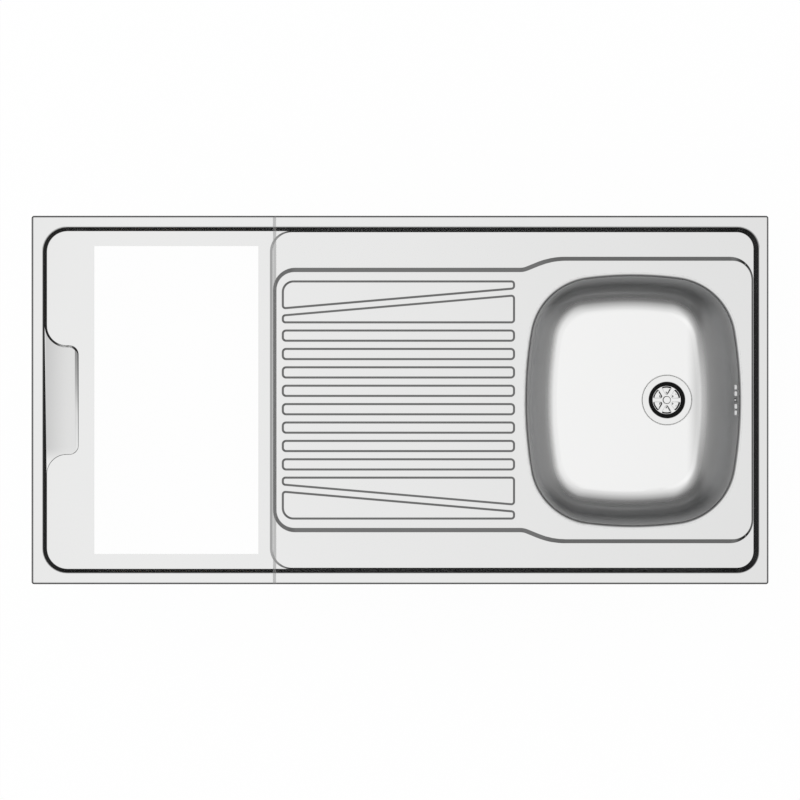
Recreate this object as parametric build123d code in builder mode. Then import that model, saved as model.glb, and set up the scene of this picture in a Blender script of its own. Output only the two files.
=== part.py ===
from build123d import *
import math
import os

os.makedirs("parts", exist_ok=True)

# Kitchen sink top with one bowl, a ribbed drainer and a hob cut-out, laid on two base cabinets.
# Millimetres. X runs along the length (bowl at +X), Y to the wall, Z up. The origin is the
# centre of the plan, on the plane where the battens rest on the cabinets.

# Overall
length = 1200.0
depth = 600.0
sheet = 0.8
rim_z = 28.0
step_slope = 45.0

# Levels below the rim
hob_drop = 6.4
ledge_drop = 8.1
field_drop = 11.7
bowl_drop = 150.0

# Steps and edges of the sheet
ring_left_x = -581.7
ring_right_x = 584.3
ring_half_y = 281.6
ring_left_radius = 40.0
ring_right_radius = 35.0
divider_x = -212.0
divider_radius = 33.0
divider_run = 4.5
edge_round = 3.0
fine_round = 1.0
ledge_round = 0.45
fold_round = 3.6
rib_round = 1.0
corner_round = 4.0
hem_height = 9.0
hem_round = 0.7

# Drainer and bowl field
strip = 0.5
field_half_y = 215.6
bowl_field_half_y = 233.5
field_run = 7.0
bowl_field_run = 6.4
field_left_run = 5.5
field_right_run = 2.0
shoulder_start_x = 201.0
shoulder_angle = 22.0
shoulder_inner_radius = 25.0
shoulder_outer_radius = 120.0
field_left_radius = 36.0
field_right_radius = 38.0

# Drainer ribs
rib_left_x = -192.8
rib_right_x = 187.7
rib_height = 2.0
rib_slope = 60.0
rib_width = 20.1
rib_pitch = 30.0
rib_count = 8
rib_corner = 7.0
inner_wedge = (124.9, 139.5, 172.3)
outer_wedge = (147.6, 180.3, 195.1)
wedge_corner = 6.0
wedge_big_corner = 19.0

# Hob cut-out
hob_left_x = -498.4
hob_right_x = -230.9
hob_half_y = 251.0

# Sloping land between the rim and the hob deck
land_right_x = -523.8
land_half_y = 89.0
land_outer_radius = 15.0
land_inner_radius = 32.0
land_left_x = -620.0
land_plan_length = 60.0
land_root_width = 20.0
land_foot_x = -529.5
land_tail_x = -523.3
land_rear_heights = (3.9, 5.6, 0.5)
land_front_heights = (-0.4, -1.2, 0.5)
land_section_y = 220.0

# Bowl: mouth measured where the rolled lip meets the field
bowl_x = 380.2
bowl_y = -1.2
mouth_half_x = 177.9
mouth_half_y = 208.2
mouth_side_radius = 691.0
mouth_end_radius = 580.0
mouth_corner = 108.6
bowl_taper = 6.0
lip_roll = 6.0
floor_round = 45.0
lip_margin = 1.5

# Waste
waste_x = 447.0
recess_radius = 42.6
recess_depth = 2.2
recess_slope = 45.0
drain_hole_radius = 32.0
flange_radius = 41.0
flange_sheet = 1.0
cup_top_radius = 30.6
cup_ledge_radius = 24.6
cup_ledge_drop = 9.0
cup_well_radius = 22.0
cup_well_drop = 30.0
screw_radius = 3.0
screw_gap = 0.2
outlet_radius = 23.9
outlet_bore = 20.5
outlet_bottom_z = -205.0

# Overflow
slot_width = 7.8
slot_height = 22.0
slot_pitch = 10.5
slot_z = -8.0
slot_corner = 3.0
flap_length = 5.0
flap_slope = 10.0
flap_root = 0.15
flap_gap = 0.2
head_back_x = 575.6
head_front_x = 555.1
head_width = 60.0
head_height = 37.0
head_wall = 2.5
pipe_x = 564.6
pipe_z = -148.0
pipe_radius = 10.0
pipe_wall = 1.5
pipe_bend = 28.0
socket_radius = 12.5
socket_gap = 0.2
nut_radius = 15.5
nut_length = 17.0
nut_gap = 0.1

# Waste body and screw
gasket_thickness = 1.0
cup_round = 1.0
well_hole_circle = 14.0
well_hole_radius = 4.5
body_radius = 40.0
body_inner_radius = 34.0
body_wall = 3.0
body_depth = 39.0
outlet_cone = 14.0
body_gasket_thickness = 2.0
gasket_margin = 0.8
spider_hub = 7.0
spider_arm = 3.0
spider_height = 6.0
screw_head_radius = 6.5
screw_head_height = 3.0
screw_length = 42.0
nut_flats = 10.0
nut_height = 5.0
port_end_x = 505.0
socket_depth = 12.0

# Strainer
basket_radius = 23.8
basket_cup_radius = 20.5
basket_sheet = 1.2
basket_depth = 13.0
spoke_width = 6.6
opening_outer_radius = 22.6
opening_inner_radius = 9.4
opening_corner = 1.6
drip_radius = 1.6
drip_inner_circle = 6.0
drip_outer_circle = 12.5
cup_slot = 2.4
basket_round = 0.5
seal_gap = 0.3
seal_thickness = 2.0
seal_lip = 0.8
seal_tip_gap = 1.0
knob_radius = 6.75
knob_neck = 3.5
knob_height = 6.0
knob_cap = 3.5

# Overflow head, pipe and nuts
head_corner = 8.0
boss_radius = 5.0
boss_bore = 12.0
overflow_screw_radius = 1.9
overflow_head_radius = 4.0
spigot_length = 18.5
nut_lip = 4.0
nut_groove = 1.6
pipe_seal_height = 4.0
pipe_end_gap = 0.5
seal_bevel = 1.0
head_bore = 8.0
overflow_screw_back = 0.6

# Battens and damping pads
batten_width = 13.0
batten_gap = 2.6
batten_chamfer = 1.4
centre_width = 40.0
bowl_batten_x = 150.0
hob_batten_gap = 3.0
pad_thickness = 2.0
pad_width = 190.0
pad_corner = 12.0
pad_edge_gap = 16.0
pad_batten_gap = 8.0
bowl_pad_x = 335.0
bowl_pad_length = 110.0

# Fixing strips and their screws
strip_width = 20.0
strip_thickness = 1.5
strip_corner = 4.0
strip_hole_radius = 2.5
strip_y = 220.0
strip_top_z = 20.0
strip_bottom_z = -38.0
strip_screw_z = 11.0
strip_hole_z = -26.0
strip_screw_radius = 2.0
strip_screw_length = 12.0
strip_head_radius = 4.2

# Heads of the strip and overflow screws
screw_pan_height = 2.4
cross_slot = 1.2
cross_depth = 1.4

# Worked out
hob_z = rim_z - hob_drop
ledge_z = rim_z - ledge_drop
field_z = rim_z - field_drop
floor_z = rim_z - bowl_drop
slope_run = math.tan(math.radians(step_slope))
taper_run = math.tan(math.radians(bowl_taper))
roll_reach = lip_roll * math.tan(math.radians((90 - bowl_taper) / 2))
hob_foot_x = ring_right_x - hob_drop * slope_run
hob_foot_y = ring_half_y - hob_drop * slope_run
ledge_run = (ledge_drop - hob_drop) * slope_run
field_left_x = divider_x + divider_run + strip
field_right_x = ring_right_x - ledge_drop * slope_run - strip


def on_outside(edge):
    """True for an edge that runs round the outside of the top."""
    middle = edge.center()
    return abs(middle.X) > ring_right_x + 5 or abs(middle.Y) > ring_half_y + 5


def on_ring(edge):
    return not on_outside(edge)


def bowl_outline(z, grow):
    """The bowl's plan at a height: two bowed sides, two bowed ends and round corners."""
    side_shift = mouth_half_x - mouth_side_radius
    end_shift = mouth_half_y - mouth_end_radius
    with BuildSketch(Plane.XY.offset(z)) as outline:
        with Locations((bowl_x + side_shift, bowl_y)):
            Circle(mouth_side_radius + grow)
        with Locations((bowl_x - side_shift, bowl_y)):
            Circle(mouth_side_radius + grow, mode=Mode.INTERSECT)
        with Locations((bowl_x, bowl_y + end_shift)):
            Circle(mouth_end_radius + grow, mode=Mode.INTERSECT)
        with Locations((bowl_x, bowl_y - end_shift)):
            Circle(mouth_end_radius + grow, mode=Mode.INTERSECT)
        fillet(outline.vertices(), mouth_corner + grow)
    return outline.sketch


def level(block, z):
    """The edges of a block that lie flat at a height."""
    return block.edges().filter_by(Plane.XY).filter_by_position(Axis.Z, z - 0.01, z + 0.01)


# ---- Sink top: one sheet, pressed in steps, its edge folded down and hemmed ----


def land_section(y, heights):
    """The land cut across at y, its heights above the hob deck given at three places along X."""
    xs = (land_left_x, land_foot_x, land_tail_x)
    corners = [(x, hob_z + height) for x, height in zip(xs, heights)]
    with BuildSketch(Plane.XZ.offset(-y)) as section:
        with BuildLine():
            Polyline(*corners, (land_tail_x, 0), (land_left_x, 0), close=True)
        make_face()
    return section.sketch


with BuildPart() as land:
    with BuildSketch(Plane.XY.offset(hob_z)) as land_plan:
        with Locations((land_right_x, 0)):
            Rectangle(land_plan_length, 2 * land_half_y, align=(Align.MAX, Align.CENTER))
        with Locations((ring_left_x + hob_drop * slope_run, 0)):
            Rectangle(land_root_width, 4 * land_half_y, align=(Align.MAX, Align.CENTER))
        tips = land_plan.vertices().filter_by(lambda v: abs(abs(v.Y) - land_half_y) < 0.01)
        fillet(tips.group_by(Axis.X)[-1], land_outer_radius)
        roots = land_plan.vertices().filter_by(lambda v: abs(abs(v.Y) - land_half_y) < 0.01)
        fillet(roots.group_by(Axis.X)[0], land_inner_radius)
    extrude(amount=hob_drop, taper=step_slope)
    front_section = land_section(-land_section_y, land_front_heights)
    rear_section = land_section(land_section_y, land_rear_heights)
    loft([front_section, rear_section], ruled=True, mode=Mode.INTERSECT)


def ledge_outline(z, shrink, left_x):
    """The pocket right of the divider, seen from above at a height."""
    with BuildSketch(Plane.XY.offset(z)) as outline:
        with Locations((left_x, 0)):
            size = (hob_foot_x - shrink - left_x, 2 * (hob_foot_y - shrink))
            Rectangle(*size, align=(Align.MIN, Align.CENTER))
        right = outline.vertices().group_by(Axis.X)[-1]
        fillet(right, ring_right_radius - hob_drop * slope_run - shrink)
        left = outline.vertices().group_by(Axis.X)[0]
        fillet(left, divider_radius - shrink)
    return outline.sketch


def field_outline(z, share):
    """The drainer and bowl field with its S-shaped shoulders, share of the way down its slopes."""
    inset = share * field_run
    left_x = field_left_x + share * field_left_run
    right_x = field_right_x - share * field_right_run
    low_y = field_half_y - inset
    high_y = bowl_field_half_y - share * bowl_field_run
    lean = math.radians(shoulder_angle)
    start_x = shoulder_start_x + inset * math.tan(lean / 2)
    end_x = start_x + (high_y - low_y) / math.tan(lean)
    rounds = (
        (left_x, field_left_radius - inset),
        (start_x, shoulder_inner_radius + inset),
        (end_x, shoulder_outer_radius - inset),
        (right_x, field_right_radius - inset),
    )
    with BuildSketch(Plane.XY.offset(z)) as outline:
        with BuildLine():
            Polyline(
                (left_x, -low_y),
                (left_x, low_y),
                (start_x, low_y),
                (end_x, high_y),
                (right_x, high_y),
                (right_x, -high_y),
                (end_x, -high_y),
                (start_x, -low_y),
                close=True,
            )
        make_face()
        for corner_x, radius in rounds:
            corners = outline.vertices().filter_by_position(Axis.X, corner_x - 0.01, corner_x + 0.01)
            fillet(corners, radius)
    return outline.sketch


with BuildPart() as press_form:
    with BuildSketch(Plane.XY.offset(rim_z)):
        Rectangle(length, depth)
    extrude(amount=-rim_z)
    with BuildSketch(Plane.XY.offset(rim_z)) as ring_plan:
        with Locations((ring_left_x, 0)):
            Rectangle(ring_right_x - ring_left_x, 2 * ring_half_y, align=(Align.MIN, Align.CENTER))
        fillet(ring_plan.vertices().group_by(Axis.X)[-1], ring_right_radius)
        fillet(ring_plan.vertices().group_by(Axis.X)[0], ring_left_radius)
    extrude(amount=-hob_drop, taper=step_slope, mode=Mode.SUBTRACT)
    ledge_mouth = ledge_outline(hob_z, 0, divider_x)
    ledge_foot = ledge_outline(ledge_z, ledge_run, divider_x + divider_run)
    loft([ledge_mouth, ledge_foot], ruled=True, mode=Mode.SUBTRACT)
    field_mouth = field_outline(ledge_z, 0)
    field_foot = field_outline(field_z, 1)
    loft([field_mouth, field_foot], ruled=True, mode=Mode.SUBTRACT)

with BuildPart() as ribs:
    with BuildSketch(Plane.XY.offset(field_z)) as rib_plan:
        rib_length = rib_right_x - rib_left_x
        rib_mid_x = (rib_right_x + rib_left_x) / 2
        with Locations((rib_mid_x, 0)):
            with GridLocations(0, rib_pitch, 1, rib_count):
                RectangleRounded(rib_length, rib_width, rib_corner)
        with BuildSketch(Plane.XY.offset(field_z), mode=Mode.PRIVATE) as inner_plan:
            with BuildLine():
                Polyline(
                    (rib_left_x, inner_wedge[0]),
                    (rib_right_x, inner_wedge[0]),
                    (rib_right_x, inner_wedge[2]),
                    (rib_left_x, inner_wedge[1]),
                    close=True,
                )
            make_face()
            fillet(inner_plan.vertices(), wedge_corner)
        with BuildSketch(Plane.XY.offset(field_z), mode=Mode.PRIVATE) as outer_plan:
            with BuildLine():
                Polyline(
                    (rib_left_x, outer_wedge[0]),
                    (rib_right_x, outer_wedge[1]),
                    (rib_right_x, outer_wedge[2]),
                    (rib_left_x, outer_wedge[2]),
                    close=True,
                )
            make_face()
            tall = outer_plan.vertices().group_by(Axis.X)[0].sort_by(Axis.Y)[-1]
            others = outer_plan.vertices() - [tall]
            fillet(others, wedge_corner)
            tall = outer_plan.vertices().group_by(Axis.X)[0].sort_by(Axis.Y)[-1]
            fillet(tall, wedge_big_corner)
        add(inner_plan.sketch)
        add(outer_plan.sketch)
        mirror(inner_plan.sketch, about=Plane.XZ)
        mirror(outer_plan.sketch, about=Plane.XZ)
    extrude(amount=rib_height, taper=rib_slope)

with BuildPart() as form:
    add(press_form.part)
    add(ribs.part)
    add(land.part)
    fillet(form.edges().filter_by(Axis.Z), corner_round)
    fillet(level(form, rim_z).filter_by(on_ring), edge_round)
    fillet(level(form, hob_z), fine_round)
    fillet(level(form, ledge_z), ledge_round)
    fillet(level(form, field_z + rib_height), rib_round)
    fillet(level(form, field_z), fine_round)
    fillet(level(form, rim_z).filter_by(on_outside), fold_round)

with BuildPart() as under_form:
    add(form.part.moved(Location((0, 0, -sheet))))
    with BuildSketch(Plane.XY.offset(-rim_z)):
        RectangleRounded(length - 2 * sheet, depth - 2 * sheet, corner_round - sheet)
    extrude(amount=2 * rim_z - sheet, mode=Mode.INTERSECT)

with BuildPart() as sink_top:
    add(form.part)
    add(under_form.part, mode=Mode.SUBTRACT)
    with BuildSketch(Plane.XY):
        RectangleRounded(length, depth, corner_round)
        RectangleRounded(
            length - 4 * sheet,
            depth - 4 * sheet,
            corner_round - 2 * sheet,
            mode=Mode.SUBTRACT,
        )
    extrude(amount=hem_height)
    fillet(level(sink_top, 0), hem_round)
    with BuildSketch(Plane.XY.offset(rim_z)):
        with Locations(((hob_left_x + hob_right_x) / 2, 0)):
            Rectangle(hob_right_x - hob_left_x, 2 * hob_half_y)
    extrude(amount=-rim_z, mode=Mode.SUBTRACT)
    extrude(bowl_outline(rim_z, lip_margin), amount=-rim_z, mode=Mode.SUBTRACT)
sink_top.part.label = "sink_top"
export_step(sink_top.part, "parts/sink_top.step")


# ---- Bowl: drawn in one piece, its rolled lip welded flush into the field. Each overflow slot is
# cut on three sides, and its foot is bent outwards into a short flap ----

slot_places = [(slot_pitch * n, slot_z) for n in (-2, -1, 1, 2)]
flap_z = slot_z - slot_height / 2
flap_x = bowl_x + mouth_half_x - roll_reach - (field_z - flap_z) * taper_run + flap_root
flap_rise = flap_length * math.tan(math.radians(flap_slope))
flap_corners = [
    (flap_x, flap_z),
    (flap_x + flap_length, flap_z + flap_rise),
    (flap_x + flap_length, flap_z + flap_rise - sheet),
    (flap_x, flap_z - sheet),
]

with BuildPart() as bowl_hollow:
    extrude(bowl_outline(field_z, -roll_reach), amount=floor_z - field_z, taper=bowl_taper)
    fillet(bowl_hollow.edges().group_by(Axis.Z)[0], floor_round)

with BuildPart() as bowl_outside:
    wall_grow = sheet / math.cos(math.radians(bowl_taper)) - roll_reach
    extrude(bowl_outline(field_z, wall_grow), amount=floor_z - field_z - sheet, taper=bowl_taper)
    fillet(bowl_outside.edges().group_by(Axis.Z)[0], floor_round + sheet)

with BuildPart() as bowl:
    add(bowl_outside.part)
    extrude(bowl_outline(field_z, lip_margin), amount=-sheet)
    with BuildSketch(Plane.XY.offset(floor_z)):
        with Locations((waste_x, 0)):
            Circle(recess_radius + sheet)
    extrude(amount=-recess_depth - sheet, taper=recess_slope)
    add(bowl_hollow.part, mode=Mode.SUBTRACT)
    with BuildSketch(Plane.XY.offset(floor_z)):
        with Locations((waste_x, 0)):
            Circle(recess_radius)
    extrude(amount=-recess_depth, taper=recess_slope, mode=Mode.SUBTRACT)
    with Locations((waste_x, 0, floor_z)):
        Cylinder(drain_hole_radius, 4 * recess_depth, mode=Mode.SUBTRACT)
    flats = bowl.faces().filter_by(Plane.XY).sort_by(Axis.Z)
    fillet(flats[-2].inner_wires()[0].edges(), lip_roll - sheet)
    flats = bowl.faces().filter_by(Plane.XY).sort_by(Axis.Z)
    fillet(flats[-1].inner_wires()[0].edges(), lip_roll)
    with BuildSketch(Plane.YZ.offset(bowl_x)) as slots:
        with Locations(*slot_places):
            Rectangle(slot_width, slot_height)
        fillet(slots.vertices().group_by(Axis.Y)[-1], slot_corner)
        with Locations((0, slot_z)):
            Circle(screw_radius)
    extrude(amount=2 * mouth_half_x, mode=Mode.SUBTRACT)
    for y, _ in slot_places:
        with BuildSketch(Plane.XZ.offset(-y)):
            with BuildLine():
                Polyline(*flap_corners, close=True)
            make_face()
        extrude(amount=slot_width / 2 - flap_gap, both=True)
bowl.part.label = "bowl"
export_step(bowl.part, "parts/bowl.step")


# ---- Battens: a timber frame under the rim, and three across, all resting on the cabinets ----


def batten(name, low, high, height, drilled_face=0.0):
    """A straight timber with its underside on the seat plane, drilled for the strip screws if asked."""
    with BuildPart() as timber:
        with BuildSketch(Plane.XY):
            with Locations(low):
                Rectangle(high[0] - low[0], high[1] - low[1], align=(Align.MIN, Align.MIN))
        extrude(amount=height)
        chamfer(timber.edges(), batten_chamfer)
        if drilled_face:
            with BuildSketch(Plane.YZ.offset(drilled_face)):
                with Locations((-strip_y, strip_screw_z), (strip_y, strip_screw_z)):
                    Circle(strip_screw_radius)
            pilot = math.copysign(strip_screw_length - strip_thickness, drilled_face)
            extrude(amount=pilot, mode=Mode.SUBTRACT)
    timber.part.label = name
    export_step(timber.part, f"parts/{name}.step")


outer_x = length / 2 - batten_gap
outer_y = depth / 2 - batten_gap
inner_x = outer_x - batten_width
inner_y = outer_y - batten_width
rim_height = rim_z - sheet
field_height = field_z - sheet
hob_batten_x = divider_x - hob_batten_gap - batten_width
batten("front_batten", (-outer_x, -outer_y), (outer_x, -inner_y), rim_height)
batten("rear_batten", (-outer_x, inner_y), (outer_x, outer_y), rim_height)
batten("left_batten", (-outer_x, -inner_y), (-inner_x, inner_y), rim_height, -inner_x)
batten("right_batten", (inner_x, -inner_y), (outer_x, inner_y), rim_height, inner_x)
batten("centre_batten", (-centre_width / 2, -inner_y), (centre_width / 2, inner_y), field_height)
batten("bowl_batten", (bowl_batten_x, -inner_y), (bowl_batten_x + centre_width, inner_y), field_height)
batten("hob_batten", (hob_batten_x, -inner_y), (hob_batten_x + batten_width, inner_y), hob_z - sheet)


# ---- Damping pads: bitumen sheet stuck under the drainer and under the bowl ----

left_span = (divider_x + pad_edge_gap, -centre_width / 2 - pad_batten_gap)
right_span = (centre_width / 2 + pad_batten_gap, bowl_batten_x - pad_batten_gap)
with BuildPart() as drainer_pads:
    with BuildSketch(Plane.XY.offset(field_height)):
        for low_x, high_x in (left_span, right_span):
            with Locations(((low_x + high_x) / 2, 0)):
                RectangleRounded(high_x - low_x, pad_width, pad_corner)
    extrude(amount=-pad_thickness)
drainer_pads.part.label = "drainer_pads"
export_step(drainer_pads.part, "parts/drainer_pads.step")

with BuildPart() as bowl_pad:
    with BuildSketch(Plane.XY.offset(floor_z - sheet)):
        with Locations((bowl_pad_x, 0)):
            RectangleRounded(bowl_pad_length, pad_width, pad_corner)
    extrude(amount=-pad_thickness)
bowl_pad.part.label = "bowl_pad"
export_step(bowl_pad.part, "parts/bowl_pad.step")


# ---- Fixing strips: four drilled steel strips that tie the end battens to the cabinet sides ----


def cross_screw(shank_radius, shank_length, head_radius):
    """A pan-head screw along +X with a cross in its head, the head's seat at X 0."""
    with BuildPart() as screw:
        with BuildSketch(Plane.YZ):
            Circle(head_radius)
        extrude(amount=-screw_pan_height)
        fillet(screw.edges().sort_by(Axis.X)[0], cross_depth)
        with BuildSketch(Plane.YZ):
            Circle(shank_radius)
        extrude(amount=shank_length)
        with BuildSketch(Plane.YZ.offset(-screw_pan_height)):
            Rectangle(head_radius, cross_slot)
            Rectangle(cross_slot, head_radius)
        extrude(amount=cross_depth, mode=Mode.SUBTRACT)
    return screw.part


with BuildPart() as strip_blank:
    with BuildSketch(Plane.YZ):
        with Locations((0, (strip_top_z + strip_bottom_z) / 2)):
            RectangleRounded(strip_width, strip_top_z - strip_bottom_z, strip_corner)
        with Locations((0, strip_screw_z)):
            Circle(strip_screw_radius, mode=Mode.SUBTRACT)
        with Locations((0, strip_hole_z)):
            Circle(strip_hole_radius, mode=Mode.SUBTRACT)
    extrude(amount=strip_thickness)

strip_x = inner_x - strip_thickness
strip_places = []
screw_places = []
for side, turn in ((1, 0), (-1, 180)):
    for y in (-strip_y, strip_y):
        strip_places.append(Location((side * strip_x, y, 0), (0, 0, turn)))
        screw_places.append(Location((side * strip_x, y, strip_screw_z), (0, 0, turn)))

with BuildPart() as fixing_strips:
    with Locations(*strip_places):
        add(strip_blank.part)
fixing_strips.part.label = "fixing_strips"
export_step(fixing_strips.part, "parts/fixing_strips.step")

strip_screw = cross_screw(strip_screw_radius, strip_screw_length, strip_head_radius)
with BuildPart() as strip_screws:
    with Locations(*screw_places):
        add(strip_screw)
strip_screws.part.label = "strip_screws"
export_step(strip_screws.part, "parts/strip_screws.step")


# ---- Waste: flange and cup, gaskets, plastic body, centre screw and its nut ----

recess_under = floor_z - recess_depth - sheet
flange_under = floor_z - recess_depth + gasket_thickness
flange_top = flange_under + flange_sheet
cone_low = flange_top - cup_top_radius + cup_ledge_radius
ledge_level = floor_z - cup_ledge_drop
well_level = floor_z - cup_well_drop
elbow = flange_sheet * math.tan(math.radians(45 / 2))


def turned(profile):
    """A solid turned about the waste's axis from (radius, height) corners."""
    with BuildPart() as round_piece:
        with BuildSketch(Plane.XZ):
            with BuildLine():
                Polyline(*profile, close=True)
            make_face()
        revolve(axis=Axis.Z)
    return round_piece.part.moved(Location((waste_x, 0, 0)))


with BuildPart() as waste_flange:
    outside = [
        (screw_radius + screw_gap, well_level - flange_sheet),
        (cup_well_radius + flange_sheet, well_level - flange_sheet),
        (cup_well_radius + flange_sheet, ledge_level - flange_sheet),
        (cup_ledge_radius + flange_sheet, ledge_level - flange_sheet),
        (cup_ledge_radius + flange_sheet, cone_low - elbow),
        (cup_top_radius + elbow, flange_under),
        (flange_radius, flange_under),
    ]
    inside = [
        (flange_radius, flange_top),
        (cup_top_radius, flange_top),
        (cup_ledge_radius, cone_low),
        (cup_ledge_radius, ledge_level),
        (cup_well_radius, ledge_level),
        (cup_well_radius, well_level),
        (screw_radius + screw_gap, well_level),
    ]
    add(turned(outside + inside))
    fillet(level(waste_flange, flange_top).sort_by(SortBy.RADIUS)[0], cup_round)
    fillet(level(waste_flange, flange_top).sort_by(SortBy.RADIUS)[-1], flange_sheet / 2)
    with BuildSketch(Plane.XY.offset(well_level)):
        with Locations((waste_x, 0)):
            with PolarLocations(well_hole_circle, 6):
                Circle(well_hole_radius)
    extrude(amount=-flange_sheet, mode=Mode.SUBTRACT)
waste_flange.part.label = "waste_flange"
export_step(waste_flange.part, "parts/waste_flange.step")


def washer(name, outer, inner, low, high):
    """A flat ring on the waste's axis."""
    with BuildPart() as ring:
        with BuildSketch(Plane.XY.offset(low)):
            with Locations((waste_x, 0)):
                Circle(outer)
                Circle(inner, mode=Mode.SUBTRACT)
        extrude(amount=high - low)
    ring.part.label = name
    export_step(ring.part, f"parts/{name}.step")


body_top = recess_under - body_gasket_thickness
gasket_inner = drain_hole_radius + gasket_margin
washer("flange_gasket", flange_radius - gasket_margin, gasket_inner, floor_z - recess_depth, flange_under)
washer("body_gasket", body_radius - gasket_margin, gasket_inner, body_top, recess_under)

cone_top_z = body_top - body_depth
outlet_top_z = cone_top_z - outlet_cone
with BuildPart() as waste_body:
    body_outer_radius = body_inner_radius + body_wall
    outer_corners = [
        (0, body_top),
        (body_radius, body_top),
        (body_radius, body_top - body_wall),
        (body_outer_radius, body_top - body_wall),
        (body_outer_radius, cone_top_z),
        (outlet_radius, outlet_top_z),
        (outlet_radius, outlet_bottom_z),
        (0, outlet_bottom_z),
    ]
    inner_corners = [
        (0, body_top),
        (body_inner_radius, body_top),
        (body_inner_radius, cone_top_z + body_wall / 2),
        (outlet_bore, outlet_top_z + body_wall / 2),
        (outlet_bore, outlet_bottom_z),
        (0, outlet_bottom_z),
    ]
    add(turned(outer_corners))
    with BuildSketch(Plane.YZ.offset(waste_x)):
        with Locations((0, pipe_z)):
            Circle(socket_radius)
    extrude(amount=port_end_x - waste_x)
    add(turned(inner_corners), mode=Mode.SUBTRACT)
    with BuildSketch(Plane.YZ.offset(waste_x)):
        with Locations((0, pipe_z)):
            Circle(pipe_radius - pipe_wall)
    extrude(amount=port_end_x - waste_x, mode=Mode.SUBTRACT)
    with BuildSketch(Plane.YZ.offset(port_end_x)):
        with Locations((0, pipe_z)):
            Circle(pipe_radius + socket_gap)
    extrude(amount=-socket_depth, mode=Mode.SUBTRACT)
    with BuildSketch(Plane.XY.offset(outlet_top_z)):
        with Locations((waste_x, 0)):
            Circle(spider_hub)
            with PolarLocations(0, 3):
                Rectangle(outlet_bore + body_wall / 2, spider_arm, align=(Align.MIN, Align.CENTER))
            Circle(screw_radius + screw_gap, mode=Mode.SUBTRACT)
    extrude(amount=-spider_height)
waste_body.part.label = "waste_body"
export_step(waste_body.part, "parts/waste_body.step")

with BuildPart() as centre_screw:
    with Locations((waste_x, 0, well_level)):
        Cylinder(screw_head_radius, screw_head_height, align=(Align.CENTER, Align.CENTER, Align.MIN))
        Cylinder(screw_radius, screw_length, align=(Align.CENTER, Align.CENTER, Align.MAX))
    fillet(level(centre_screw, well_level + screw_head_height), screw_head_height / 2)
    with Locations((waste_x, 0, well_level + screw_head_height)):
        Box(2 * screw_head_radius, cross_slot, screw_head_height, mode=Mode.SUBTRACT)
centre_screw.part.label = "centre_screw"
export_step(centre_screw.part, "parts/centre_screw.step")

with BuildPart() as centre_nut:
    with BuildSketch(Plane.XY.offset(outlet_top_z - spider_height)):
        with Locations((waste_x, 0)):
            RegularPolygon(nut_flats / 2, 6, major_radius=False)
            Circle(screw_radius, mode=Mode.SUBTRACT)
    extrude(amount=-nut_height)
centre_nut.part.label = "centre_nut"
export_step(centre_nut.part, "parts/centre_nut.step")


# ---- Strainer: a spoked cup with a knob, lifted out of the waste, seated on a rubber ring ----

plate_level = ledge_level + seal_thickness
with BuildPart() as strainer_basket:
    with BuildSketch(Plane.XY.offset(plate_level)):
        with Locations((waste_x, 0)):
            Circle(basket_radius)
    extrude(amount=basket_sheet)
    fillet(level(strainer_basket, plate_level + basket_sheet), basket_round)
    with BuildSketch(Plane.XY.offset(plate_level)):
        with Locations((waste_x, 0)):
            Circle(basket_cup_radius)
    extrude(amount=-basket_depth)
    fillet(level(strainer_basket, plate_level - basket_depth), 2 * basket_sheet)
    with BuildSketch(Plane.XY.offset(plate_level)):
        with Locations((waste_x, 0)):
            Circle(basket_cup_radius - basket_sheet)
    extrude(amount=basket_sheet - basket_depth, mode=Mode.SUBTRACT)
    with BuildSketch(Plane.XY.offset(plate_level)) as spoked:
        with Locations((waste_x, 0)):
            Circle(opening_outer_radius)
            Circle(opening_inner_radius, mode=Mode.SUBTRACT)
            with PolarLocations(0, 6):
                Rectangle(2 * basket_radius, spoke_width, mode=Mode.SUBTRACT)
        fillet(spoked.vertices(), opening_corner)
    extrude(amount=2 * basket_sheet, both=True, mode=Mode.SUBTRACT)
    rims = level(strainer_basket, plate_level + basket_sheet)
    fillet(rims.sort_by(lambda e: (e.center() - Vector(waste_x, 0, 0)).length)[:-1], basket_round)
    with BuildSketch(Plane.XY.offset(plate_level - basket_depth)):
        with Locations((waste_x, 0)):
            Circle(drip_radius)
            with PolarLocations(drip_inner_circle, 6):
                Circle(drip_radius)
            with PolarLocations(drip_outer_circle, 12):
                Circle(drip_radius)
    extrude(amount=basket_sheet, mode=Mode.SUBTRACT)
    with Locations((waste_x, 0, plate_level - basket_depth / 2)):
        with PolarLocations(basket_cup_radius, 12):
            Box(3 * basket_sheet, cup_slot, basket_depth / 2, mode=Mode.SUBTRACT)
strainer_basket.part.label = "strainer_basket"
export_step(strainer_basket.part, "parts/strainer_basket.step")

knob_base = plate_level + basket_sheet
with BuildPart() as strainer_knob:
    with Locations((waste_x, 0, knob_base)):
        Cylinder(knob_neck, knob_height, align=(Align.CENTER, Align.CENTER, Align.MIN))
    with Locations((waste_x, 0, knob_base + knob_height)):
        Cylinder(knob_radius, knob_cap, align=(Align.CENTER, Align.CENTER, Align.MAX))
    fillet(level(strainer_knob, knob_base + knob_height), knob_cap / 2)
strainer_knob.part.label = "strainer_knob"
export_step(strainer_knob.part, "parts/strainer_knob.step")

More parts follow.
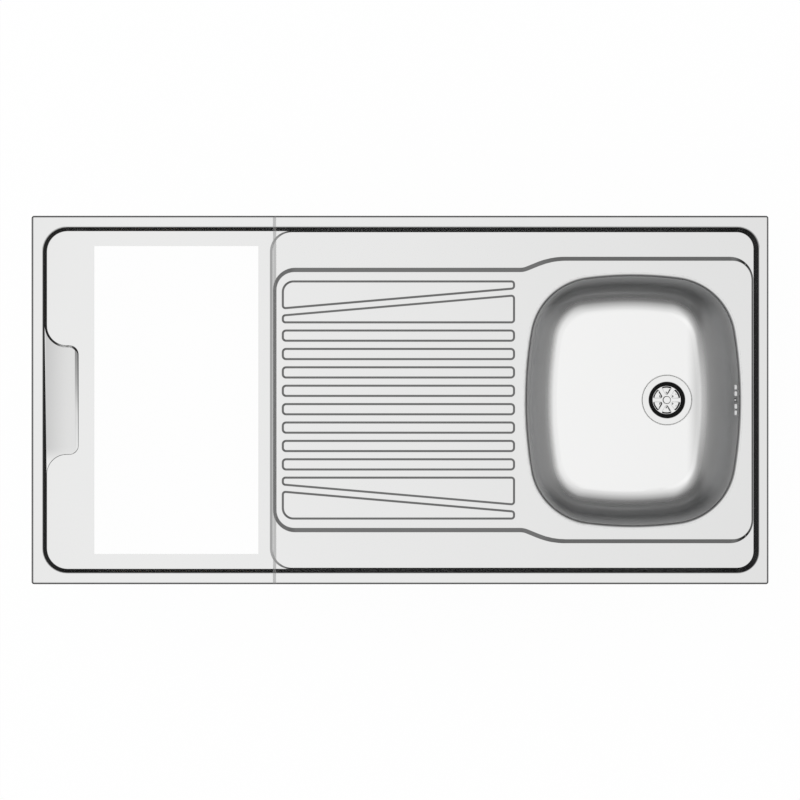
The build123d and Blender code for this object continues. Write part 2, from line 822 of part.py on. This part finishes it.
with BuildPart() as basket_seal:
    seat_radius = cup_ledge_radius - seal_gap
    cone_shift = seal_gap * math.sqrt(2)
    tip_radius = cup_top_radius - seal_tip_gap
    tip_z = cone_low + tip_radius - cup_ledge_radius + cone_shift
    lip_step = seal_lip / math.sqrt(2)
    grip_radius = basket_radius + seal_gap / 2
    profile = [
        (basket_cup_radius + seal_gap, ledge_level),
        (seat_radius, ledge_level),
        (seat_radius, cone_low + cone_shift - seal_gap),
        (tip_radius, tip_z),
        (tip_radius - lip_step, tip_z + lip_step),
        (grip_radius, tip_z + lip_step - (tip_radius - lip_step - grip_radius)),
        (grip_radius, plate_level),
        (basket_cup_radius + seal_gap, plate_level),
    ]
    add(turned(profile))
basket_seal.part.label = "basket_seal"
export_step(basket_seal.part, "parts/basket_seal.step")


# ---- Overflow: wedge gasket, moulded head, screw, rigid pipe, two nuts and two seals ----

head_middle = (0, slot_z)
head_inner = (head_width - 2 * head_wall, head_height - 2 * head_wall)
with BuildPart() as overflow_gasket:
    with BuildSketch(Plane.YZ.offset(head_front_x)):
        with Locations(head_middle):
            RectangleRounded(head_width, head_height, head_corner)
            RectangleRounded(*head_inner, head_corner - head_wall, mode=Mode.SUBTRACT)
    extrude(amount=-4 * lip_roll)
    add(bowl_outside.part, mode=Mode.SUBTRACT)
overflow_gasket.part.label = "overflow_gasket"
export_step(overflow_gasket.part, "parts/overflow_gasket.step")

head_bottom = slot_z - head_height / 2
spigot_bottom = head_bottom - spigot_length
with BuildPart() as overflow_head:
    with BuildSketch(Plane.YZ.offset(head_front_x)):
        with Locations(head_middle):
            RectangleRounded(head_width, head_height, head_corner)
    extrude(amount=head_back_x - head_front_x)
    fillet(overflow_head.faces().sort_by(Axis.X)[-1].edges(), head_wall)
    with BuildSketch(Plane.YZ.offset(head_front_x)):
        with Locations(head_middle):
            RectangleRounded(*head_inner, head_corner - head_wall)
    extrude(amount=head_back_x - head_front_x - head_wall, mode=Mode.SUBTRACT)
    with BuildSketch(Plane.YZ.offset(head_front_x)):
        with Locations(head_middle):
            Circle(boss_radius)
    extrude(amount=head_back_x - head_front_x - head_wall)
    with BuildSketch(Plane.YZ.offset(head_front_x)):
        with Locations(head_middle):
            Circle(overflow_screw_radius)
    extrude(amount=boss_bore, mode=Mode.SUBTRACT)
    with BuildSketch(Plane.XY.offset(head_bottom)):
        with Locations((pipe_x, 0)):
            Circle(socket_radius)
    extrude(amount=-spigot_length)
    with BuildSketch(Plane.XY.offset(head_bottom + head_wall)):
        with Locations((pipe_x, 0)):
            Circle(head_bore)
    extrude(amount=-head_wall - spigot_length, mode=Mode.SUBTRACT)
    with BuildSketch(Plane.XY.offset(spigot_bottom)):
        with Locations((pipe_x, 0)):
            Circle(pipe_radius + socket_gap)
    extrude(amount=socket_depth, mode=Mode.SUBTRACT)
overflow_head.part.label = "overflow_head"
export_step(overflow_head.part, "parts/overflow_head.step")

wall_x = bowl_x + mouth_half_x - roll_reach - (field_z - slot_z) * taper_run
seat_x = wall_x - overflow_screw_back
overflow_screw_length = head_front_x + boss_bore - wall_x
overflow_screw = cross_screw(overflow_screw_radius, overflow_screw_length, overflow_head_radius)
overflow_screw_place = Location((seat_x, 0, slot_z))
with BuildPart() as overflow_screw_fitted:
    add(overflow_screw.moved(overflow_screw_place))
overflow_screw_fitted.part.label = "overflow_screw"
export_step(overflow_screw_fitted.part, "parts/overflow_screw.step")

pipe_low = (port_end_x - socket_depth + pipe_end_gap, pipe_z)
pipe_high = (pipe_x, spigot_bottom + socket_depth - pipe_end_gap)
with BuildPart() as overflow_pipe:
    with BuildLine(Plane.XZ) as pipe_route:
        FilletPolyline(pipe_low, (pipe_x, pipe_z), pipe_high, radius=pipe_bend)
    with BuildSketch(Plane.YZ.offset(pipe_low[0])):
        with Locations((0, pipe_z)):
            Circle(pipe_radius)
            Circle(pipe_radius - pipe_wall, mode=Mode.SUBTRACT)
    sweep(path=pipe_route.line)
overflow_pipe.part.label = "overflow_pipe"
export_step(overflow_pipe.part, "parts/overflow_pipe.step")

with BuildPart() as nut:
    with BuildSketch(Plane.XY):
        Circle(nut_radius)
        with PolarLocations(nut_radius + nut_groove / 2, 12):
            Circle(nut_groove, mode=Mode.SUBTRACT)
    extrude(amount=nut_length)
    with BuildSketch(Plane.XY.offset(nut_length)):
        Circle(socket_radius + nut_gap)
    extrude(amount=nut_lip - nut_length, mode=Mode.SUBTRACT)
    with BuildSketch(Plane.XY):
        Circle(pipe_radius + socket_gap)
    extrude(amount=nut_lip, mode=Mode.SUBTRACT)

nut_below = nut_lip + pipe_seal_height
top_nut = Location((pipe_x, 0, spigot_bottom - nut_below))
low_nut = Location((port_end_x + nut_below, 0, pipe_z), (0, -90, 0))
with BuildPart() as pipe_nuts:
    with Locations(top_nut, low_nut):
        add(nut.part)
pipe_nuts.part.label = "pipe_nuts"
export_step(pipe_nuts.part, "parts/pipe_nuts.step")

with BuildPart() as seal:
    with BuildSketch(Plane.XY.offset(nut_lip)):
        Circle(socket_radius)
        Circle(pipe_radius, mode=Mode.SUBTRACT)
    extrude(amount=pipe_seal_height)
    chamfer(level(seal, nut_lip).sort_by(SortBy.RADIUS)[-1], seal_bevel)

with BuildPart() as pipe_seals:
    with Locations(top_nut, low_nut):
        add(seal.part)
pipe_seals.part.label = "pipe_seals"
export_step(pipe_seals.part, "parts/pipe_seals.step")
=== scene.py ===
import math

import bpy
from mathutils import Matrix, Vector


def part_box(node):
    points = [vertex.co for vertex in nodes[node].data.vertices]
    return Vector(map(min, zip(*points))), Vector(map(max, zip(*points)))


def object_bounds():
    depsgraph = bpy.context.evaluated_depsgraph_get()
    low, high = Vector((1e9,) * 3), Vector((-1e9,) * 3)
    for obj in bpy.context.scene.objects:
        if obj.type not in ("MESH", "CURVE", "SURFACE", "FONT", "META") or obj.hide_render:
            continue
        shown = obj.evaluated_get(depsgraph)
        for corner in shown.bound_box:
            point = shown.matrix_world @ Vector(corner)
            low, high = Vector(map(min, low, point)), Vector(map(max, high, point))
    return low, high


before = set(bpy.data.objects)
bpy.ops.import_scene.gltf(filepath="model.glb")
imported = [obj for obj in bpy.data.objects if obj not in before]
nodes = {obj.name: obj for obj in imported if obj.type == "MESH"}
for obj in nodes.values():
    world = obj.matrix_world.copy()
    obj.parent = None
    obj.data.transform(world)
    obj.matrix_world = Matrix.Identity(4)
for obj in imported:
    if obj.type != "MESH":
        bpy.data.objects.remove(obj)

cad_low, cad_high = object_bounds()
bpy.ops.object.select_all(action="DESELECT")


# ---- View: the sink is seen from straight above, from far enough away that its sides stay
# hidden. The rim takes the same share of the square frame as in the photograph.

rim_share = 737.3 / 800
film_width = 36.0
lens = 144.0
view_height = (cad_high[0] - cad_low[0]) / rim_share * lens / film_width

camera = bpy.data.cameras.new("camera")
camera.sensor_width = film_width
camera.lens = lens
camera.clip_end = 30
viewpoint = bpy.data.objects.new("camera", camera)
viewpoint.location = (0, 0, cad_high[2] + view_height)
bpy.context.collection.objects.link(viewpoint)
bpy.context.scene.camera = viewpoint
bpy.context.scene.view_settings.view_transform = "Standard"


# ---- Sink top: one stainless sheet, pressed in steps, its edge folded down and hemmed. Rolling
# leaves a fine grain along it and a faintly uneven satin gloss. The sloping land beside the hob
# cut-out carries painted shade in its colour, darkest at its left, and the pressed slope at the
# drainer's left end is matt.


class Signal:
    """A socket of a finish's nodes; arithmetic on it adds Math nodes."""

    def __init__(self, owner, socket):
        self.owner = owner
        self.socket = socket

    def math(self, operation, first, second):
        return self.owner.node("Math", {"operation": operation}, {0: first, 1: second})

    def __add__(self, other):
        return self.math("ADD", self, other)

    def __radd__(self, other):
        return self.math("ADD", other, self)

    def __sub__(self, other):
        return self.math("SUBTRACT", self, other)

    def __rsub__(self, other):
        return self.math("SUBTRACT", other, self)

    def __mul__(self, other):
        return self.math("MULTIPLY", self, other)

    def __rmul__(self, other):
        return self.math("MULTIPLY", other, self)

    def rise(self, low, high):
        """0 below low, 1 above high, and a soft step between them."""
        values = {"Value": self, "From Min": low, "From Max": high}
        return self.owner.node("MapRange", {"interpolation_type": "SMOOTHSTEP"}, values)

    def band(self, start, full, fade, end):
        """Rises from start to full, falls from fade to end, and is 0 outside them."""
        return self.rise(start, full) * (1 - self.rise(fade, end))


class Finish:
    """A material, or the surround, being mixed: its nodes and its shader."""

    def __init__(self, block, shader="Principled BSDF", **even):
        block.use_nodes = True
        self.block = block
        self.tree = block.node_tree
        self.shader = self.tree.nodes[shader]
        for socket, value in even.items():
            self.plug(self.shader, socket.replace("_", " "), value)

    def plug(self, node, socket, value):
        """Links a signal to a node's socket, or sets the socket to a value."""
        if isinstance(value, Signal):
            self.tree.links.new(value.socket, node.inputs[socket])
        else:
            node.inputs[socket].default_value = value

    def set(self, socket, value):
        """Plugs a signal or a value into the shader itself."""
        self.plug(self.shader, socket, value)

    def node(self, kind, settings=None, values=None, output=0):
        """Adds a node, makes its settings, fills its sockets, and returns one of its outputs."""
        made = self.tree.nodes.new("ShaderNode" + kind)
        settings = dict(settings or {})
        stops = settings.pop("stops", ())
        for name, value in settings.items():
            setattr(made, name, value)
        for place, tone in stops[2:]:
            made.color_ramp.elements.new(place)
        for number, (place, tone) in enumerate(stops):
            made.color_ramp.elements[number].position = place
            made.color_ramp.elements[number].color = (tone, tone, tone, 1)
        for name, value in (values or {}).items():
            self.plug(made, name, value)
        return Signal(self, made.outputs[output])

    def place(self, stretch=(1, 1, 1), shift=(0, 0, 0)):
        """Object coordinates, stretched for a grain that runs one way, or moved to a centre."""
        here = self.node("TexCoord", output="Object")
        return self.node("Mapping", values={"Vector": here, "Scale": stretch, "Location": shift})

    def axis(self, letter):
        return self.node("SeparateXYZ", values={0: self.place()}, output=letter)

    def noise(self, scale, stretch=(1, 1, 1), detail=2.0):
        values = {"Vector": self.place(stretch), "Scale": scale, "Detail": detail}
        return self.node("TexNoise", values=values)

    def blend(self, share, first, second):
        """A colour that goes from the first to the second as share goes from 0 to 1."""
        values = {0: share}
        for socket, colour in ((6, first), (7, second)):
            values[socket] = colour if isinstance(colour, Signal) else (*colour, 1)
        return self.node("Mix", {"data_type": "RGBA"}, values, output=2)

    def bump(self, height, distance):
        values = {"Height": height, "Distance": distance}
        self.set("Normal", self.node("Bump", values=values))

    def give(self, *names):
        """Puts this finish on carried-over nodes, in place of what they came with."""
        for name in names:
            nodes[name].data.materials.clear()
            nodes[name].data.materials.append(self.block)


def finish(name, **even):
    """A new finish of that name. Its even values are the same all over the surface."""
    return Finish(bpy.data.materials.new(name), **even)


# Pairs are where a change starts and ends, and fours where one starts, is full, fades and ends.
rim = cad_high[2]
above_deck = (rim - 0.0062, rim - 0.0058)
land_length = (-0.5785, -0.576, -0.53, -0.527)
land_width = (-0.105, -0.075, 0.122, 0.126)
land_shade_fade = (-0.59, -0.535)
drainer_slope = (-0.2072, -0.2066, -0.202, -0.2014)

sheet_tone = (0.777, 0.779, 0.777)
sheet_cloud = (0.797, 0.797, 0.793)
# Painted shade on the sloping land: darker at its left than at its right.
land_painted_shade_left = (0.55, 0.551, 0.55)
land_painted_shade_right = (0.71, 0.71, 0.707)
satin = 0.085
slope_matt = 0.36

rolled = finish("sheet_steel", Metallic=1.0)
grain = rolled.noise(900, (0.03, 1, 1), detail=3.0)
cloud = rolled.noise(6.0)
along, across, up = (rolled.axis(letter) for letter in "XYZ")
# The land's mask and the painted shade it carries, darkest at the land's left.
land_shade_mask = up.rise(*above_deck) * along.band(*land_length) * across.band(*land_width)
clean = rolled.blend(cloud, sheet_tone, sheet_cloud)
land_painted_shade = rolled.blend(along.rise(*land_shade_fade), land_painted_shade_left, land_painted_shade_right)
rolled.set("Base Color", rolled.blend(land_shade_mask, clean, land_painted_shade))
slope = along.band(*drainer_slope)
rolled.set("Roughness", satin + grain * 0.02 + cloud * 0.015 + slope * slope_matt)
rolled.bump(grain, 0.00001)
rolled.give("sink_top")


# ---- Bowl: drawn from one blank, polished up and down its walls, and welded flush into the
# sheet. The walls are more matt than the floor and carry painted shade in their colour, lighter
# low down on the two end walls, and painted shade darkens the floor where it turns up into the
# right wall. The overflow's slots have bright flaps at their feet, bent outwards from the wall.

bowl_low, bowl_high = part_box("bowl")
flange_recess = 0.003
bowl_floor = bowl_low[2] + flange_recess
bowl_top = bowl_high[2]
bowl_middle = (bowl_low[0] + bowl_high[0]) / 2
wall_lean = 0.105
flap_reach = (0.1716, 0.172)
flap_top = (0, 0.004)
lower_half = (-0.085, -0.01)
round_the_corners = (-0.012, 0.014)
# Where the floor's painted shade lies, as it turns up into the right wall.
floor_painted_shade_reach = (0.098, 0.122, 0.118, 0.134)

floor_tone = (0.905, 0.905, 0.901)
# Painted shade: the floor's tone by the right wall, then the front, rear and end walls' tones,
# lighter low down on the end walls.
floor_painted_shade = (0.62, 0.62, 0.617)
front_rear_wall_painted_shade = (0.5, 0.505, 0.51)
end_wall_painted_shade_high = (0.68, 0.685, 0.69)
end_wall_painted_shade_low = (0.97, 0.975, 0.98)
lip_tone = (0.767, 0.768, 0.766)
flap_tone = (0.85, 0.85, 0.846)
floor_satin = 0.12
wall_matt = 0.22
end_wall_matt = 0.26

drawn = finish("bowl_steel", Metallic=1.0)
strokes = drawn.noise(700, (1, 1, 0.05), detail=3.0)
aside, height = (drawn.axis(letter) for letter in "YZ")
out = drawn.axis("X") - bowl_middle
# Each of these is 0 off its part of the bowl and 1 on it.
wall = height.rise(bowl_floor + 0.001, bowl_floor + 0.036)
worn = height.rise(bowl_floor + 0.0005, bowl_floor + 0.012)
fillet = height.rise(bowl_floor + 0.0002, bowl_floor + 0.005)
lip = height.rise(bowl_top - 0.009, bowl_top - 0.001)
flush = height.rise(bowl_top - 0.0015, bowl_top - 0.0003)
lower = 1 - height.rise(*lower_half)
ends = (out * out * 1.4 - aside * aside).rise(*round_the_corners)
flap = (out - height * wall_lean).rise(*flap_reach) * (1 - height.rise(*flap_top))
# The floor's painted shade by the right wall, and the painted shade over the walls.
floor_with_painted_shade = drawn.blend(out.band(*floor_painted_shade_reach), floor_tone, floor_painted_shade)
end_wall_with_painted_shade = drawn.blend(lower, end_wall_painted_shade_high, end_wall_painted_shade_low)
walls_with_painted_shade = drawn.blend(ends, front_rear_wall_painted_shade, end_wall_with_painted_shade)
inside_with_painted_shade = drawn.blend(wall, floor_with_painted_shade, walls_with_painted_shade)
drawn.set("Base Color", drawn.blend(flap, drawn.blend(lip, inside_with_painted_shade, lip_tone), flap_tone))
matt = worn * (1 - flush) * (1 - flap) * wall_matt + fillet * ends * lower * end_wall_matt
drawn.set("Roughness", floor_satin + strokes * 0.04 + matt)
drawn.bump(strokes, 0.00001)
drawn.give("bowl")


# ---- Battens: planed softwood, an outer frame and three across, stuck up under the sheet. The
# growth rings run along each timber, with a few small knots.


def wave(surface, settings, scale, distortion=0.0, stretch=(1, 1, 1), shift=(0, 0, 0)):
    values = {"Vector": surface.place(stretch, shift), "Scale": scale, "Distortion": distortion}
    return surface.node("TexWave", settings, values)


def cells(surface, scale, output="Distance"):
    values = {"Vector": surface.place(), "Scale": scale}
    return surface.node("TexVoronoi", values=values, output=output)


early_wood = (0.74, 0.56, 0.36)
late_wood = (0.6, 0.41, 0.23)
dark_fibre = (0.5, 0.33, 0.18)
knot_wood = (0.28, 0.15, 0.07)
lengthways = {"X": (0.06, 1, 1), "Y": (1, 0.06, 1)}
timbers = {
    "X": ("front_batten", "rear_batten"),
    "Y": ("left_batten", "right_batten", "centre_batten", "bowl_batten", "hob_batten"),
}
for letter, names in timbers.items():
    softwood = finish("timber_" + letter, Roughness=0.6)
    rings = wave(softwood, {"bands_direction": "Z"}, 60, 6.0, lengthways[letter])
    fibre = softwood.noise(900, lengthways[letter], detail=4.0)
    knots = 1 - cells(softwood, 9).rise(0.03, 0.09)
    planed = softwood.blend(rings, early_wood, late_wood)
    streaked = softwood.blend(fibre * 0.4, planed, dark_fibre)
    softwood.set("Base Color", softwood.blend(knots, streaked, knot_wood))
    softwood.bump(fibre + rings * 0.5, 0.0002)
    softwood.give(*names)


# ---- Damping pads: bitumen sheet with an embossed grid, stuck on under the drainer and the
# bowl so that running water drums less.

bitumen_dark = (0.03, 0.03, 0.032)
bitumen_grey = (0.075, 0.075, 0.078)

bitumen = finish("bitumen", Roughness=0.62)
crumb = bitumen.noise(500, detail=3.0)
squares = wave(bitumen, {"bands_direction": "X"}, 40) * wave(bitumen, {"bands_direction": "Y"}, 40)
bitumen.set("Base Color", bitumen.blend(crumb, bitumen_dark, bitumen_grey))
bitumen.bump(squares + crumb * 0.3, 0.0006)
bitumen.give("drainer_pads", "bowl_pad")


# ---- Fixing strips and their screws: cut from galvanised strip, with the zinc's spangle, and
# screwed to the end battens. They tie the top to the cabinet's sides.

zinc_dark = (0.58, 0.6, 0.61)
zinc_pale = (0.74, 0.75, 0.75)

zinc = finish("zinc", Metallic=1.0)
spangle = cells(zinc, 160, output="Color")
zinc.set("Base Color", zinc.blend(spangle, zinc_dark, zinc_pale))
zinc.set("Roughness", 0.28 + zinc.noise(300) * 0.14)
zinc.give("fixing_strips", "strip_screws")


# ---- Waste, strainer and screws: a flange and cup in the bowl's floor, pulled down by a long
# screw, and the spoked strainer with its knob, which lifts out. They and the overflow's screw
# are stainless steel, polished round their axis.

flange_low, flange_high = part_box("waste_flange")
waste_x = (flange_low[0] + flange_high[0]) / 2
polish_dark = (0.84, 0.84, 0.835)
polish_pale = (0.87, 0.87, 0.865)

polished = finish("polished_steel", Metallic=1.0)
ringed = {"wave_type": "RINGS", "rings_direction": "Z"}
turning = wave(polished, ringed, 420, 0.4, shift=(-waste_x, 0, 0))
polished.set("Base Color", polished.blend(polished.noise(60), polish_dark, polish_pale))
polished.set("Roughness", 0.07 + turning * 0.04)
polished.bump(turning, 0.000005)
polished.give("waste_flange", "centre_screw", "strainer_basket", "strainer_knob", "overflow_screw")


# ---- Gaskets and seals: black moulded rubber, dulled by a faint bloom. One gasket lies above the
# bowl's floor and one below it, a lipped ring seals the strainer in its cup, and two seal the
# overflow's pipe.

rubber_dark = (0.006, 0.006, 0.006)
rubber_bloom = (0.016, 0.016, 0.016)

rubber = finish("rubber", Roughness=0.62, Specular_IOR_Level=0.2)
bloom = rubber.noise(300, detail=3.0)
rubber.set("Base Color", rubber.blend(bloom, rubber_dark, rubber_bloom))
rubber.bump(bloom, 0.00005)
rubber.give("flange_gasket", "body_gasket", "basket_seal", "pipe_seals")


# ---- Waste body and overflow: white moulded plastic with a fine sparked texture. The body hangs
# under the bowl, and a stiff pipe with a nut at each end joins it to the head behind the slots.

plastic_dark = (0.79, 0.79, 0.77)
plastic_pale = (0.85, 0.85, 0.83)
depth_of_glow = (1.0, 0.95, 0.9)

plastic = finish(
    "white_plastic",
    Subsurface_Weight=0.2,
    Subsurface_Scale=0.004,
    Subsurface_Radius=depth_of_glow,
)
mottle = plastic.noise(60, detail=3.0)
spark = plastic.noise(2500)
plastic.set("Base Color", plastic.blend(mottle, plastic_dark, plastic_pale))
plastic.set("Roughness", 0.34 + mottle * 0.12)
plastic.bump(spark, 0.00003)
plastic.give("waste_body", "overflow_head", "overflow_pipe", "pipe_nuts")


# ---- Centre nut: a small hexagon of brass, a little tarnished, under the three-armed hub of the
# waste body. The long screw turns in it and pulls the flange down.

brass_dark = (0.64, 0.45, 0.19)
brass_bright = (0.78, 0.6, 0.3)

brass = finish("brass", Metallic=1.0)
tarnish = brass.noise(300, detail=3.0)
brass.set("Base Color", brass.blend(tarnish, brass_dark, brass_bright))
brass.set("Roughness", 0.22 + tarnish * 0.14)
brass.give("centre_nut")


# ---- Overflow gasket: white closed-cell foam, squeezed between the bowl's sloping wall and the
# moulded head.

foam_white = (0.86, 0.86, 0.84)
foam_grey = (0.74, 0.74, 0.72)

foam = finish("foam", Roughness=0.75)
bubbles = cells(foam, 1400)
foam.set("Base Color", foam.blend(bubbles, foam_white, foam_grey))
foam.bump(1 - bubbles, 0.0002)
foam.give("overflow_gasket")


# ---- Floor and surround: a pale floor and a white surround. A soft dome seen only in the metal
# is white overhead and falls to dark at the horizon, and is a little stronger or weaker from
# left to right. It gives the pressed steps their lines.


def rays(surface, *kinds):
    """1 for rays of these kinds, 0 for all others."""
    first, *others = (surface.node("LightPath", output="Is " + kind + " Ray") for kind in kinds)
    return sum(others, first)


floor_z = cad_low[2] - 0.002
floor_width = 12
bpy.ops.mesh.primitive_plane_add(size=floor_width, location=(0, 0, floor_z))
floor = bpy.context.object
floor.name = "floor"
ground = finish("ground", Roughness=0.9, Base_Color=(0.95, 0.95, 0.95, 1))
oval = ground.place((0.6, 1, 0))
away = ground.node("VectorMath", {"operation": "LENGTH"}, {0: oval}, output="Value")
# The metal mirrors the floor nearly black, and blacker still further away.
paleness = 1 - rays(ground, "Glossy") * (0.88 + 0.1 * away.rise(0.5, 1.2))
white = ground.node("Emission", values={"Strength": paleness})
# Three hundredths of the floor's own shading stay, for the sink's faint shadow.
share = rays(ground, "Camera", "Glossy", "Transmission") * 0.97
lit = Signal(ground, ground.shader.outputs[0])
shown = ground.node("MixShader", values={0: share, 1: lit, 2: white})
ground.plug(ground.tree.nodes["Material Output"], "Surface", shown)
floor.data.materials.append(ground.block)

dome_radius = 60.0
dome_strength = 1.15
# Each height, from 0 at the horizon to 1 straight overhead, and the tone there.
dome_tones = (
    (0.0, 0.008), (0.06, 0.01), (0.12, 0.02), (0.26, 0.08), (0.5, 0.2), (0.588, 0.16),
    (0.707, 0.36), (0.866, 0.6), (0.951, 0.8), (0.9703, 0.84), (0.9848, 0.95), (0.9903, 1.0),
)
# Each place from 0 at the far left to 1 at the far right, and the share of the tone there.
dome_leans = (
    (0.0, 0.957), (0.075, 0.957), (0.175, 0.7), (0.35, 0.68), (0.44, 0.93),
    (0.5, 0.893), (0.56, 0.833), (0.66, 1.0), (0.78, 0.87), (1.0, 0.87),
)
bpy.ops.mesh.primitive_uv_sphere_add(segments=64, ring_count=48, radius=dome_radius)
dome = bpy.context.object
dome.name = "dome"
dome.visible_camera = False
dome.visible_diffuse = False
dome.visible_transmission = False
dome.visible_volume_scatter = False
dome.visible_shadow = False
sky = finish("sky")
toward = sky.place([1 / dome_radius] * 3)
upward = sky.node("SeparateXYZ", values={0: toward}, output="Z")
sideways = sky.node("SeparateXYZ", values={0: toward}, output="X")
tone = sky.node("ValToRGB", {"stops": dome_tones}, {0: upward})
lean = sky.node("ValToRGB", {"stops": dome_leans}, {0: sideways * 0.5 + 0.5})
glow = sky.node("Emission", values={"Color": tone, "Strength": lean * dome_strength})
sky.plug(sky.tree.nodes["Material Output"], "Surface", glow)
sky.block.cycles.emission_sampling = "NONE"
dome.data.materials.append(sky.block)

plain_level = 0.78
world = bpy.data.worlds.new("surround")
bpy.context.scene.world = world
surround = Finish(world, "Background", Color=(1, 1, 1, 1))
seen = rays(surround, "Camera", "Glossy", "Transmission")
surround.set("Strength", plain_level + seen * (1 - plain_level))

lamp = bpy.data.lights.new("softbox", "AREA")
lamp.shape = "RECTANGLE"
lamp.size = 3.0
lamp.size_y = 3.0
lamp.energy = 45.0
softbox = bpy.data.objects.new("softbox", lamp)
softbox.location = (-1.5, 1.0, 4.0)
softbox.rotation_euler = (math.radians(-14), math.radians(-20), 0)
softbox.visible_camera = False
softbox.visible_glossy = False
bpy.context.collection.objects.link(softbox)
